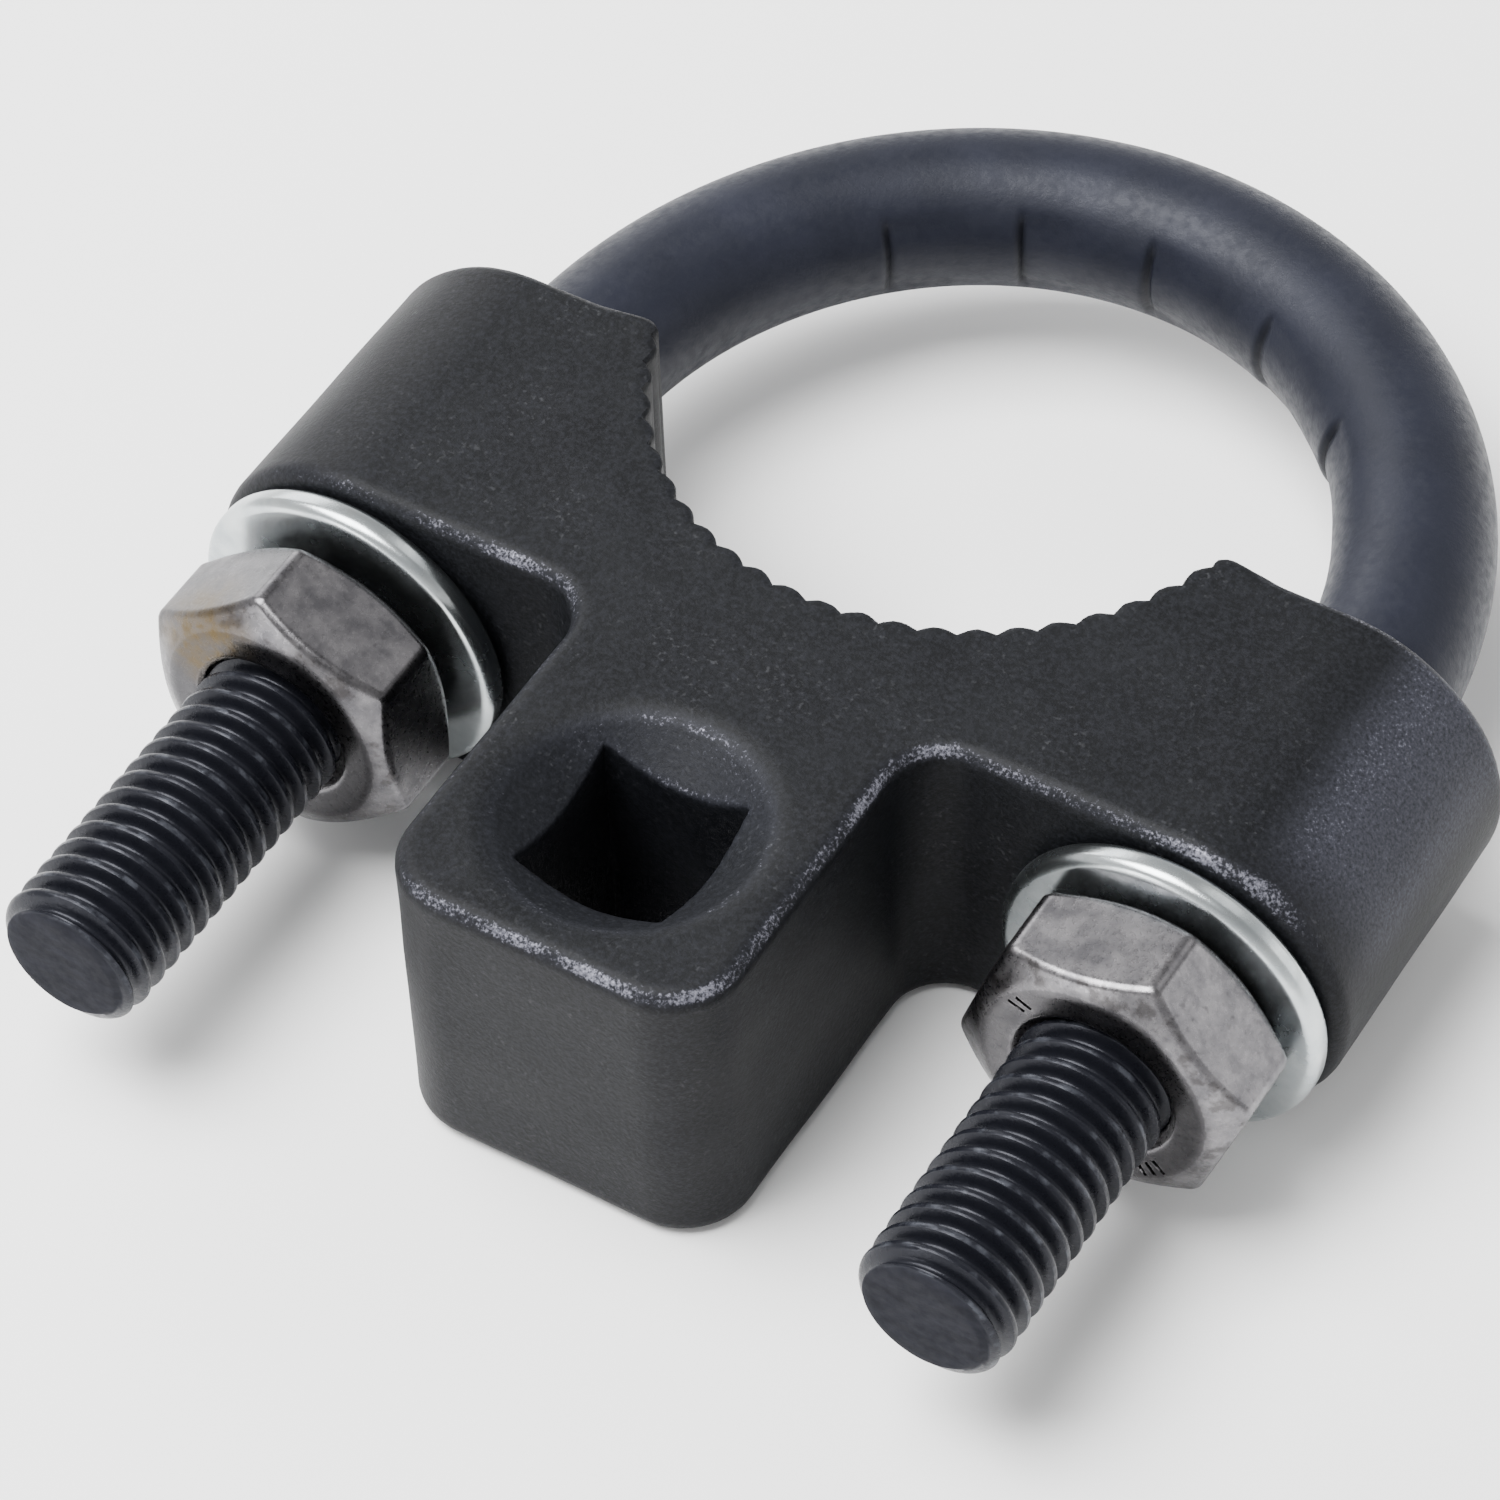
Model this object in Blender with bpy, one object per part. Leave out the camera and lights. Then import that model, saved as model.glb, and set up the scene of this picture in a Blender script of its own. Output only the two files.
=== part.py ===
"""Low-profile inner tie-rod clamp tool with a half-inch square drive.

A forged block with a scalloped jaw carries a square drive socket in its tongue.
A U-bolt closes round the joint body from the other side.  Its two threaded legs
run through the block's arms, and a washer and a hex nut on each leg draw it in.

Units are metres.  +X runs from the left leg to the right leg, +Y from the leg
tips towards the bend, and +Z up.  The block rests on its flat underside at Z = 0,
and the origin is the centre of the whole tool's footprint.
"""

import math

import bmesh
import bpy
import numpy as np
from mathutils import Matrix

MM = 0.001

# ---------------------------------------------------------------- driving sizes

# U-bolt
LEG_SPACING = 73.4 * MM             # centre to centre of the two legs
ROD_DIAMETER = 13.3 * MM            # plain part of the bar
BEND_HEIGHT = 39.4 * MM             # bar centreline, from the end of the legs to the top of the bend
LEG_LENGTH = 71.7 * MM              # left leg, tip to start of the bend
RIGHT_LEG_SHORTFALL = 4.2 * MM      # how much shorter the right leg is cut
THREAD_DIAMETER = 12.7 * MM         # half inch
THREADS_PER_INCH = 13
THREAD_DEPTH = 1.15 * MM
THREADED_LENGTH = 50.0 * MM         # left leg, tip to the last thread
TIP_CHAMFER = 0.95 * MM
LEG_OUT_OF_BLOCK = 42.0 * MM        # left leg's tip to the front of the arms, at rest

# block
BLOCK_THICKNESS = 28.6 * MM
ARM_LENGTH = 27.6 * MM              # along the legs
TONGUE_WIDTH = 29.2 * MM
TONGUE_LENGTH = 32.0 * MM           # from the front of the arms
TONGUE_CORNER_RADIUS = 6.0 * MM
ARM_FILLET_RADIUS = 4.5 * MM        # inside corner between tongue and arm
EDGE_RADIUS = 1.3 * MM
BORE_CLEARANCE = 0.5 * MM           # radial, round the plain bar

# jaw
JAW_RADIUS = 26.6 * MM              # to the bottom of the grooves
JAW_CENTRE_BEYOND_ARMS = 6.7 * MM   # jaw centre past the far face of the arms
JAW_MOUTH_RADIUS = 1.2 * MM
JAW_CHAMFER = 0.8 * MM
TOOTH_COUNT = 22
TOOTH_HEIGHT = 0.6 * MM

# drive socket
DRIVE_SQUARE = 12.9 * MM            # clears a half-inch square drive
SOCKET_FROM_ARMS = 17.8 * MM        # socket centre to the front of the arms
COUNTERSINK_DIAMETER = 22.2 * MM
COUNTERSINK_SLOPE = 1.35            # radius lost for each unit of depth

# washers and nuts
WASHER_DIAMETER = 27.4 * MM
WASHER_THICKNESS = 2.5 * MM
WASHER_BORE_CLEARANCE = 0.4 * MM    # radial, round the thread
WASHER_EDGE_RADIUS = 0.9 * MM
NUT_ACROSS_FLATS = 22.0 * MM
NUT_HEIGHT = 9.6 * MM
NUT_CHAMFER_RATIO = 0.855           # diameter of the flat faces over the width across flats
NUT_CHAMFER_SLOPE = math.tan(math.radians(30))
NUT_THREAD_CLEARANCE = 0.25 * MM    # radial
NUT_RELIEF = 0.6 * MM               # countersink beyond the thread, each face
NUT_RIGHT_TURN = math.radians(130.8)
NUT_LEFT_TURN = math.radians(95.0)

# running gaps along the legs
WASHER_TO_ARM = 0.5 * MM
NUT_TO_WASHER = 0.3 * MM
LEFT_NUT_BACKED_OFF = 0.9 * MM

# facets
ROUND_SEGMENTS = 24
THREAD_SEGMENTS = 18
BEND_STEPS = 40
TOOTH_STEPS = 4

# --------------------------------------------------------------- derived places

PITCH = 25.4 * MM / THREADS_PER_INCH
ROD_RADIUS = ROD_DIAMETER / 2
LEG_X = LEG_SPACING / 2
LEG_Z = BLOCK_THICKNESS / 2
ARM_RADIUS = BLOCK_THICKNESS / 2
TOTAL_LENGTH = LEG_LENGTH + BEND_HEIGHT + ROD_RADIUS

LEFT_TIP_Y = -TOTAL_LENGTH / 2
RIGHT_TIP_Y = LEFT_TIP_Y + RIGHT_LEG_SHORTFALL
BEND_Y = LEFT_TIP_Y + LEG_LENGTH
THREAD_END_Y = LEFT_TIP_Y + THREADED_LENGTH
ARM_FRONT_Y = LEFT_TIP_Y + LEG_OUT_OF_BLOCK
ARM_BACK_Y = ARM_FRONT_Y + ARM_LENGTH
TONGUE_FRONT_Y = ARM_FRONT_Y - TONGUE_LENGTH
SOCKET_Y = ARM_FRONT_Y - SOCKET_FROM_ARMS
JAW_Y = ARM_BACK_Y + JAW_CENTRE_BEYOND_ARMS

WASHER_BACK_Y = ARM_FRONT_Y - WASHER_TO_ARM
WASHER_FRONT_Y = WASHER_BACK_Y - WASHER_THICKNESS
RIGHT_NUT_Y = WASHER_FRONT_Y - NUT_TO_WASHER - NUT_HEIGHT
LEFT_NUT_Y = RIGHT_NUT_Y - LEFT_NUT_BACKED_OFF

CUT_MARGIN = 2.0 * MM               # how far a cutter runs past the face that it cuts


# ---------------------------------------------------------------------- helpers

def clear_scene():
    for old in list(bpy.data.objects):
        bpy.data.objects.remove(old)


def make_material(name, colour, metallic, roughness):
    material = bpy.data.materials.new(name)
    material.use_nodes = True
    shader = material.node_tree.nodes["Principled BSDF"]
    shader.inputs["Base Color"].default_value = (*colour, 1.0)
    shader.inputs["Metallic"].default_value = metallic
    shader.inputs["Roughness"].default_value = roughness
    material.diffuse_color = (*colour, 1.0)
    return material


def make_object(name, verts, faces, location=(0, 0, 0), material=None):
    """A new object whose faces are made to point outwards."""
    mesh = bpy.data.meshes.new(name)
    mesh.from_pydata([tuple(v) for v in verts], [], faces)
    solid = bmesh.new()
    solid.from_mesh(mesh)
    bmesh.ops.recalc_face_normals(solid, faces=solid.faces)
    solid.to_mesh(mesh)
    solid.free()
    mesh.shade_smooth()
    mesh.set_sharp_from_angle(angle=math.radians(35))
    if material:
        mesh.materials.append(material)
    obj = bpy.data.objects.new(name, mesh)
    obj.location = location
    bpy.context.collection.objects.link(obj)
    return obj


def as_guide(obj):
    """Mark a cutter or a helper solid, which is not a piece of the tool."""
    obj.hide_render = True
    obj.display_type = "WIRE"
    return obj


def combine(target, other, operation):
    modifier = target.modifiers.new(operation.lower() + "_" + other.name, "BOOLEAN")
    modifier.operation = operation
    modifier.solver = "EXACT"
    modifier.object = other


def smooth_by_angle_group(limit):
    """A node group that shades smooth, except across edges sharper than the limit."""
    group = bpy.data.node_groups.new("smooth_by_angle", "GeometryNodeTree")
    group.interface.new_socket("Geometry", in_out="INPUT", socket_type="NodeSocketGeometry")
    group.interface.new_socket("Geometry", in_out="OUTPUT", socket_type="NodeSocketGeometry")
    start = group.nodes.new("NodeGroupInput")
    end = group.nodes.new("NodeGroupOutput")
    angle = group.nodes.new("GeometryNodeInputMeshEdgeAngle")
    gentle = group.nodes.new("FunctionNodeCompare")
    gentle.data_type = "FLOAT"
    gentle.operation = "LESS_EQUAL"
    gentle.inputs["B"].default_value = limit
    shade = group.nodes.new("GeometryNodeSetShadeSmooth")
    shade.domain = "EDGE"
    group.links.new(start.outputs[0], shade.inputs["Geometry"])
    group.links.new(angle.outputs["Unsigned Angle"], gentle.inputs["A"])
    group.links.new(gentle.outputs["Result"], shade.inputs["Shade Smooth"])
    group.links.new(shade.outputs["Geometry"], end.inputs[0])
    return group


def smooth_by_angle(obj, group):
    modifier = obj.modifiers.new("smooth_by_angle", "NODES")
    modifier.node_group = group


def stack_rings(rings):
    """Join closed rings with the same point count into a solid with flat ends."""
    count = len(rings[0])
    verts = [point for ring in rings for point in ring]
    faces = [list(range(count))]
    for row in range(len(rings) - 1):
        low = row * count
        for i in range(count):
            j = (i + 1) % count
            faces.append([low + i, low + j, low + count + j, low + count + i])
    top = (len(rings) - 1) * count
    faces.append(list(range(top, top + count)))
    return verts, faces


def turned_about_y(profile, segments=ROUND_SEGMENTS):
    """Rings for a solid of revolution about Y, from (radius, y) pairs."""
    angles = 2 * math.pi * np.arange(segments) / segments
    return [[(r * math.sin(a), y, r * math.cos(a)) for a in angles] for r, y in profile]


def arc(centre, radius, start_degrees, end_degrees, steps):
    """Points along an arc, both ends included."""
    angles = np.radians(np.linspace(start_degrees, end_degrees, steps + 1))
    return [(centre[0] + radius * math.cos(a), centre[1] + radius * math.sin(a)) for a in angles]


def mirrored(right_half):
    """A closed outline from its right half, listed from the first point to the last."""
    return right_half + [(-x, y) for x, y in reversed(right_half)]


def prism(outline, low, high):
    """Rings for a plan outline extruded in Z."""
    return [[(x, y, z) for x, y in outline] for z in (low, high)]


# -------------------------------------------------------------------- the block

def block_outline():
    """Plan of tongue and arms, without the jaw.  The arms run past their round ends."""
    half = TONGUE_WIDTH / 2
    corner = TONGUE_CORNER_RADIUS
    fillet = ARM_FILLET_RADIUS
    past_end = LEG_X + ARM_RADIUS + CUT_MARGIN
    right = arc((half - corner, TONGUE_FRONT_Y + corner), corner, -90, 0, 6)
    right += arc((half + fillet, ARM_FRONT_Y - fillet), fillet, 180, 90, 5)
    right += [(past_end, ARM_FRONT_Y), (past_end, ARM_BACK_Y)]
    return mirrored(right)


def arm_envelope():
    """A flat bar along X with full-round sides, swept along Y past both ends of the block."""
    right = arc((LEG_X, LEG_Z), ARM_RADIUS, -90, 90, ROUND_SEGMENTS // 2)
    section = mirrored(right)
    ends = (TONGUE_FRONT_Y - CUT_MARGIN, ARM_BACK_Y + CUT_MARGIN)
    return [[(x, y, z) for x, z in section] for y in ends]


def jaw_outline():
    """Plan of what the jaw leaves open: a scalloped arc, rounded mouth and a clear way out."""
    mouth = JAW_MOUTH_RADIUS
    drop = JAW_CENTRE_BEYOND_ARMS + mouth
    reach = JAW_RADIUS + mouth
    mouth_x = math.sqrt(reach ** 2 - drop ** 2)
    end_angle = -math.degrees(math.asin(drop / reach))
    steps = TOOTH_COUNT * TOOTH_STEPS
    angles = np.radians(np.linspace(-90, end_angle, steps // 2 + 1))
    along = np.arange(steps // 2 + 1) / TOOTH_STEPS + (TOOTH_COUNT / 2) % 1
    radii = JAW_RADIUS - TOOTH_HEIGHT * np.abs(np.sin(math.pi * along))
    right = [(r * math.cos(a), JAW_Y + r * math.sin(a)) for r, a in zip(radii[1:-1], angles[1:-1])]
    right += arc((mouth_x, ARM_BACK_Y - mouth), mouth, 180 + end_angle, 90, 4)
    right.append((mouth_x, ARM_BACK_Y + CUT_MARGIN))
    bottom = [(0.0, JAW_Y - radii[0])]
    return bottom + right + [(-x, y) for x, y in reversed(right)]


def jaw_cutter():
    """The jaw outline through the block, flared at both faces for the chamfer."""
    outline = np.array(jaw_outline())
    centre = np.array([0.0, JAW_Y])
    flare = 1 + (JAW_CHAMFER + CUT_MARGIN) / JAW_RADIUS
    levels = (
        (-CUT_MARGIN, flare),
        (JAW_CHAMFER, 1.0),
        (BLOCK_THICKNESS - JAW_CHAMFER, 1.0),
        (BLOCK_THICKNESS + CUT_MARGIN, flare),
    )
    rings = []
    for z, scale in levels:
        plan = centre + (outline - centre) * scale
        rings.append([(x, y, z) for x, y in plan])
    return as_guide(make_object("jaw_cutter", *stack_rings(rings)))


def leg_bore_cutter(side):
    radius = ROD_RADIUS + BORE_CLEARANCE
    profile = [(radius, ARM_FRONT_Y - CUT_MARGIN), (radius, ARM_BACK_Y + CUT_MARGIN)]
    name = "leg_bore_left" if side < 0 else "leg_bore_right"
    solid = stack_rings(turned_about_y(profile))
    return as_guide(make_object(name, *solid, location=(side * LEG_X, 0, LEG_Z)))


def drive_square_cutter():
    half = DRIVE_SQUARE / 2
    square = [(x, SOCKET_Y + y) for x, y in ((half, -half), (half, half), (-half, half), (-half, -half))]
    rings = prism(square, -CUT_MARGIN, BLOCK_THICKNESS + CUT_MARGIN)
    return as_guide(make_object("drive_square", *stack_rings(rings)))


def countersink_cutter(name, face_z, outward):
    """A cone round the drive socket, opening outwards from the given face."""
    rim = COUNTERSINK_DIAMETER / 2
    small = DRIVE_SQUARE / 3
    depth = (rim - small) / COUNTERSINK_SLOPE
    levels = ((rim + CUT_MARGIN * COUNTERSINK_SLOPE, CUT_MARGIN), (small, -depth))
    angles = 2 * math.pi * np.arange(2 * ROUND_SEGMENTS) / (2 * ROUND_SEGMENTS)
    rings = []
    for radius, height in levels:
        z = face_z + outward * height
        rings.append([(radius * math.cos(a), SOCKET_Y + radius * math.sin(a), z) for a in angles])
    return as_guide(make_object(name, *stack_rings(rings)))


def make_block(material):
    rings = prism(block_outline(), -CUT_MARGIN, BLOCK_THICKNESS + CUT_MARGIN)
    block = make_object("clamp_block", *stack_rings(rings), material=material)
    envelope = as_guide(make_object("arm_envelope", *stack_rings(arm_envelope())))
    combine(block, envelope, "INTERSECT")
    bevel = block.modifiers.new("forged_edges", "BEVEL")
    bevel.width = EDGE_RADIUS
    bevel.segments = 2
    bevel.limit_method = "ANGLE"
    bevel.angle_limit = math.radians(50)
    cutters = [jaw_cutter(), leg_bore_cutter(-1), leg_bore_cutter(1), drive_square_cutter()]
    cutters.append(countersink_cutter("countersink_top", BLOCK_THICKNESS, 1))
    cutters.append(countersink_cutter("countersink_bottom", 0.0, -1))
    for cutter in cutters:
        combine(block, cutter, "DIFFERENCE")
    return block


# ------------------------------------------------------------------- the thread

def thread_core(crest, root, start_y, length, datum_y):
    """A right-hand V thread about Y, as a sheared grid closed at both ends.

    Row k lies half a pitch past row k - 1, even rows on the crest and odd rows at the
    root.  Each column is turned one step further and moved one step of the helix along
    Y, so that after a full turn row k meets row k + 2.  The helix passes datum_y at the
    top of the bar.
    """
    count = THREAD_SEGMENTS
    first = math.floor((start_y - datum_y) / PITCH) - 1
    turns = math.ceil(length / PITCH) + 3
    rows = 2 * turns + 1
    verts = []
    for k in range(rows):
        radius = crest if k % 2 == 0 else root
        for j in range(count):
            angle = 2 * math.pi * j / count
            y = datum_y + PITCH * (first + k / 2 + j / count)
            verts.append((radius * math.sin(angle), y, radius * math.cos(angle)))

    def at(j, k):
        return k * count + j

    faces = []
    for k in range(rows - 1):
        for j in range(count - 1):
            faces.append([at(j, k), at(j + 1, k), at(j + 1, k + 1), at(j, k + 1)])
    for k in range(rows - 3):
        faces.append([at(count - 1, k), at(0, k + 2), at(0, k + 3), at(count - 1, k + 1)])

    last = rows - 1
    start_loop = [at(j, 0) for j in range(count)] + [at(0, 2), at(0, 1)]
    end_loop = [at(j, last) for j in range(count)] + [at(count - 1, last - 1), at(count - 1, last - 2)]
    for loop, y in ((start_loop, first + 0.5), (end_loop, first + turns + 0.5)):
        centre = len(verts)
        verts.append((0.0, datum_y + PITCH * y, 0.0))
        for i, corner in enumerate(loop):
            faces.append([corner, loop[(i + 1) % len(loop)], centre])
    return verts, faces


# ------------------------------------------------------------------- the U-bolt

def threaded_leg(name, side, tip_y):
    """One leg's threaded length: the thread, kept within a chamfered blank."""
    radius = THREAD_DIAMETER / 2
    length = THREAD_END_Y - tip_y
    core = thread_core(radius, radius - THREAD_DEPTH, tip_y, length, tip_y)
    place = (side * LEG_X, 0, LEG_Z)
    leg = as_guide(make_object(name, *core, location=place))
    outer = ROD_RADIUS
    profile = [
        (radius - TIP_CHAMFER, tip_y),
        (outer, tip_y + outer - radius + TIP_CHAMFER),
        (outer, THREAD_END_Y + CUT_MARGIN),
    ]
    blank = as_guide(make_object(name + "_blank", *stack_rings(turned_about_y(profile)), location=place))
    combine(leg, blank, "INTERSECT")
    return leg


def bar_path():
    """Centreline of the plain bar: up the left leg, round a half ellipse, down the right."""
    angles = np.linspace(math.pi, 0, BEND_STEPS + 1)
    bend = [(LEG_X * math.cos(a), BEND_Y + BEND_HEIGHT * math.sin(a)) for a in angles]
    return [(-LEG_X, THREAD_END_Y)] + bend + [(LEG_X, THREAD_END_Y)]


def bar_rings():
    """Round sections square to the bar's centreline."""
    path = np.array(bar_path())
    angles = 2 * math.pi * np.arange(ROUND_SEGMENTS) / ROUND_SEGMENTS
    rings = []
    for i, point in enumerate(path):
        ahead = path[min(i + 1, len(path) - 1)] - path[max(i - 1, 0)]
        if i <= 1 or i >= len(path) - 2:
            ahead = np.array([0.0, 1.0 if i <= 1 else -1.0])
        ahead = ahead / np.linalg.norm(ahead)
        sideways = np.array([ahead[1], -ahead[0]])
        ring = []
        for a in angles:
            x, y = point + sideways * ROD_RADIUS * math.cos(a)
            ring.append((x, y, LEG_Z + ROD_RADIUS * math.sin(a)))
        rings.append(ring)
    return rings


def make_u_bolt(material):
    bolt = make_object("u_bolt", *stack_rings(bar_rings()), material=material)
    combine(bolt, threaded_leg("leg_thread_left", -1, LEFT_TIP_Y), "UNION")
    combine(bolt, threaded_leg("leg_thread_right", 1, RIGHT_TIP_Y), "UNION")
    return bolt


# --------------------------------------------------------------- washers, nuts

def make_washer(name, side, material):
    """A stamped flat washer with its outer edge rounded."""
    bore = THREAD_DIAMETER / 2 + WASHER_BORE_CLEARANCE
    outer = WASHER_DIAMETER / 2
    thick = WASHER_THICKNESS
    edge = WASHER_EDGE_RADIUS
    profile = [(bore, 0.0)]
    profile += arc((outer - edge, edge), edge, -90, 0, 3)
    profile += arc((outer - edge, thick - edge), edge, 0, 90, 3)
    profile.append((bore, thick))
    segments = 2 * ROUND_SEGMENTS
    rings = turned_about_y(profile, segments)
    verts = [point for ring in rings for point in ring]
    faces = []
    for row in range(len(rings)):
        low = row * segments
        high = ((row + 1) % len(rings)) * segments
        for i in range(segments):
            j = (i + 1) % segments
            faces.append([low + i, low + j, high + j, high + i])
    place = (side * LEG_X, WASHER_FRONT_Y, LEG_Z)
    return make_object(name, verts, faces, location=place, material=material)


def make_nut(name, side, front_y, tip_y, turn, material):
    """A hex nut, chamfered on both faces and tapped to run on its leg's thread."""
    place = (side * LEG_X, front_y, LEG_Z)
    corner = NUT_ACROSS_FLATS / math.sqrt(3)
    angles = turn + math.pi / 3 * np.arange(6)
    hexagon = [(corner * math.cos(a), corner * math.sin(a)) for a in angles]
    rings = [[(x, y, z) for x, z in hexagon] for y in (-CUT_MARGIN, NUT_HEIGHT + CUT_MARGIN)]
    nut = make_object(name, *stack_rings(rings), location=place, material=material)

    face = NUT_ACROSS_FLATS / 2 * NUT_CHAMFER_RATIO
    wide = corner + CUT_MARGIN
    rise = (wide - face) * NUT_CHAMFER_SLOPE
    profile = [(face, 0.0), (wide, rise), (wide, NUT_HEIGHT - rise), (face, NUT_HEIGHT)]
    solid = stack_rings(turned_about_y(profile, 2 * ROUND_SEGMENTS))
    combine(nut, as_guide(make_object(name + "_chamfers", *solid, location=place)), "INTERSECT")

    crest = THREAD_DIAMETER / 2 + NUT_THREAD_CLEARANCE
    core = thread_core(crest, crest - THREAD_DEPTH, 0.0, NUT_HEIGHT, tip_y - front_y)
    combine(nut, as_guide(make_object(name + "_thread", *core, location=place)), "DIFFERENCE")

    mouth = crest + NUT_RELIEF
    throat = crest - THREAD_DEPTH - NUT_RELIEF
    for end, face_y, outward in (("front", 0.0, -1), ("back", NUT_HEIGHT, 1)):
        profile = [(mouth + CUT_MARGIN, face_y + outward * CUT_MARGIN), (throat, face_y - outward * (mouth - throat))]
        solid = stack_rings(turned_about_y(profile))
        guide = as_guide(make_object(name + "_relief_" + end, *solid, location=place))
        combine(nut, guide, "DIFFERENCE")
    return nut


# ---------------------------------------------------------------------- the tool

def build():
    clear_scene()
    forged = make_material("black_oxide_forging", (0.040, 0.041, 0.045), 0.85, 0.55)
    bar = make_material("black_oxide_bar", (0.030, 0.032, 0.042), 0.85, 0.38)
    zinc = make_material("bright_zinc_plate", (0.62, 0.66, 0.67), 1.0, 0.26)
    plain = make_material("plain_steel", (0.24, 0.24, 0.25), 1.0, 0.42)
    pieces = [make_block(forged), make_u_bolt(bar)]
    pieces.append(make_washer("washer_left", -1, zinc))
    pieces.append(make_washer("washer_right", 1, zinc))
    pieces.append(make_nut("nut_left", -1, LEFT_NUT_Y, LEFT_TIP_Y, NUT_LEFT_TURN, plain))
    pieces.append(make_nut("nut_right", 1, RIGHT_NUT_Y, RIGHT_TIP_Y, NUT_RIGHT_TURN, plain))
    shading = smooth_by_angle_group(math.radians(35))
    for piece in pieces:
        smooth_by_angle(piece, shading)


build()
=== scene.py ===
# %% [markdown]
# # A tie-rod clamp tool, dressed for its portrait
#
# The tool has six pieces: a forged clamp block, a U-bolt, two washers and two nuts.
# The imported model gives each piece's place and size.  This lesson builds a finer skin
# for each one with numpy, gives it a finish, and lets it ride on the body it belongs to.

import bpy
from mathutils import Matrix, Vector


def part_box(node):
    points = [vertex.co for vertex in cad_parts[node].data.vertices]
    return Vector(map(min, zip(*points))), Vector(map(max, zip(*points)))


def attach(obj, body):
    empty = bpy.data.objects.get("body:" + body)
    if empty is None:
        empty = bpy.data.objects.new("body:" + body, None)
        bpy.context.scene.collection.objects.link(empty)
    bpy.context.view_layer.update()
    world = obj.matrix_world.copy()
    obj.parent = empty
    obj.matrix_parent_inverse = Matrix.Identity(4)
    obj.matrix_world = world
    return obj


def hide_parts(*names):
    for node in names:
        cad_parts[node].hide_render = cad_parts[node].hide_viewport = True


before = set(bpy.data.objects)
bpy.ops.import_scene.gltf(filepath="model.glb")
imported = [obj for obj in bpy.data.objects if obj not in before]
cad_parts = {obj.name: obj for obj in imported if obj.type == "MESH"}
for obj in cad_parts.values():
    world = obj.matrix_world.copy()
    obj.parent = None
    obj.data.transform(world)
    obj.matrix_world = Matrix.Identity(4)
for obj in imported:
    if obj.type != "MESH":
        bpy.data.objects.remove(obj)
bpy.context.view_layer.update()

import math

import bpy
import numpy as np
from mathutils import Matrix, Vector

# %% [markdown]
# ## Sizes
#
# Everything below is worked out in millimetres, which is how such a tool is drawn.
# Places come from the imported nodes, so the new skins sit exactly where the solids are.
# The few sizes that a box can't show, such as thread pitch, are named here.

# %% Read the places from the nodes
MM = 0.001


def node_box(node):
    """Lowest and highest corner of a node, in millimetres."""
    low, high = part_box(node)
    return np.array(low) / MM, np.array(high) / MM


def node_points(node):
    """All the corners of a node's mesh, in millimetres, as an (n, 3) array."""
    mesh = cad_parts[node].data
    flat = np.empty(len(mesh.vertices) * 3)
    mesh.vertices.foreach_get("co", flat)
    return flat.reshape(-1, 3) / MM


block_low, block_high = node_box("clamp_block")
washer_low, washer_high = node_box("washer_right")
LEG_X = (washer_low[0] + washer_high[0]) / 2
LEG_Z = (washer_low[2] + washer_high[2]) / 2
ARM_RADIUS = (block_high[2] - block_low[2]) / 2
ARM_BACK = block_high[1]
TONGUE_FRONT = block_low[1]

bolt_points = node_points("u_bolt")
TIP_Y = {side: bolt_points[side * bolt_points[:, 0] > 0][:, 1].min() for side in (-1, 1)}
NUT_FRONT = {-1: node_box("nut_left")[0][1], 1: node_box("nut_right")[0][1]}
RING_TOP = bolt_points[:, 1].max()

PITCH = 25.4 / 13
THREAD_RADIUS = 6.35
THREAD_DEPTH = 1.15
ROD_RADIUS = 6.65
THREADED_LENGTH = 50.0
BEND_HEIGHT = 39.4
BEND_Y = RING_TOP - ROD_RADIUS - BEND_HEIGHT
THREAD_END = TIP_Y[-1] + THREADED_LENGTH
print(f"legs {2 * LEG_X:.1f} mm apart, tips at {TIP_Y[-1]:.2f} and {TIP_Y[1]:.2f} mm")

# %% [markdown]
# ## From arrays to a mesh
#
# Every piece ends as points and faces in numpy arrays, and one function hands them to
# Blender with foreach_set.  Where a grid closes on itself, points that coincide are
# welded by sorting them, and a four-sided face that loses a corner becomes a triangle.

# %% Weld and make pieces
def weld(points, quads):
    """Merge points closer than 0.1 micrometre, and drop the faces that vanish."""
    keys = np.round(points / 1e-4).astype(np.int64)
    _, first, where = np.unique(keys, axis=0, return_index=True, return_inverse=True)
    quads = where.reshape(-1)[quads]
    repeats = quads == np.roll(quads, -1, axis=1)
    corners = 4 - repeats.sum(axis=1)
    fours = quads[corners == 4]
    threes = quads[corners == 3][~repeats[corners == 3]].reshape(-1, 3)
    return points[first], [fours, threes], first


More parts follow.
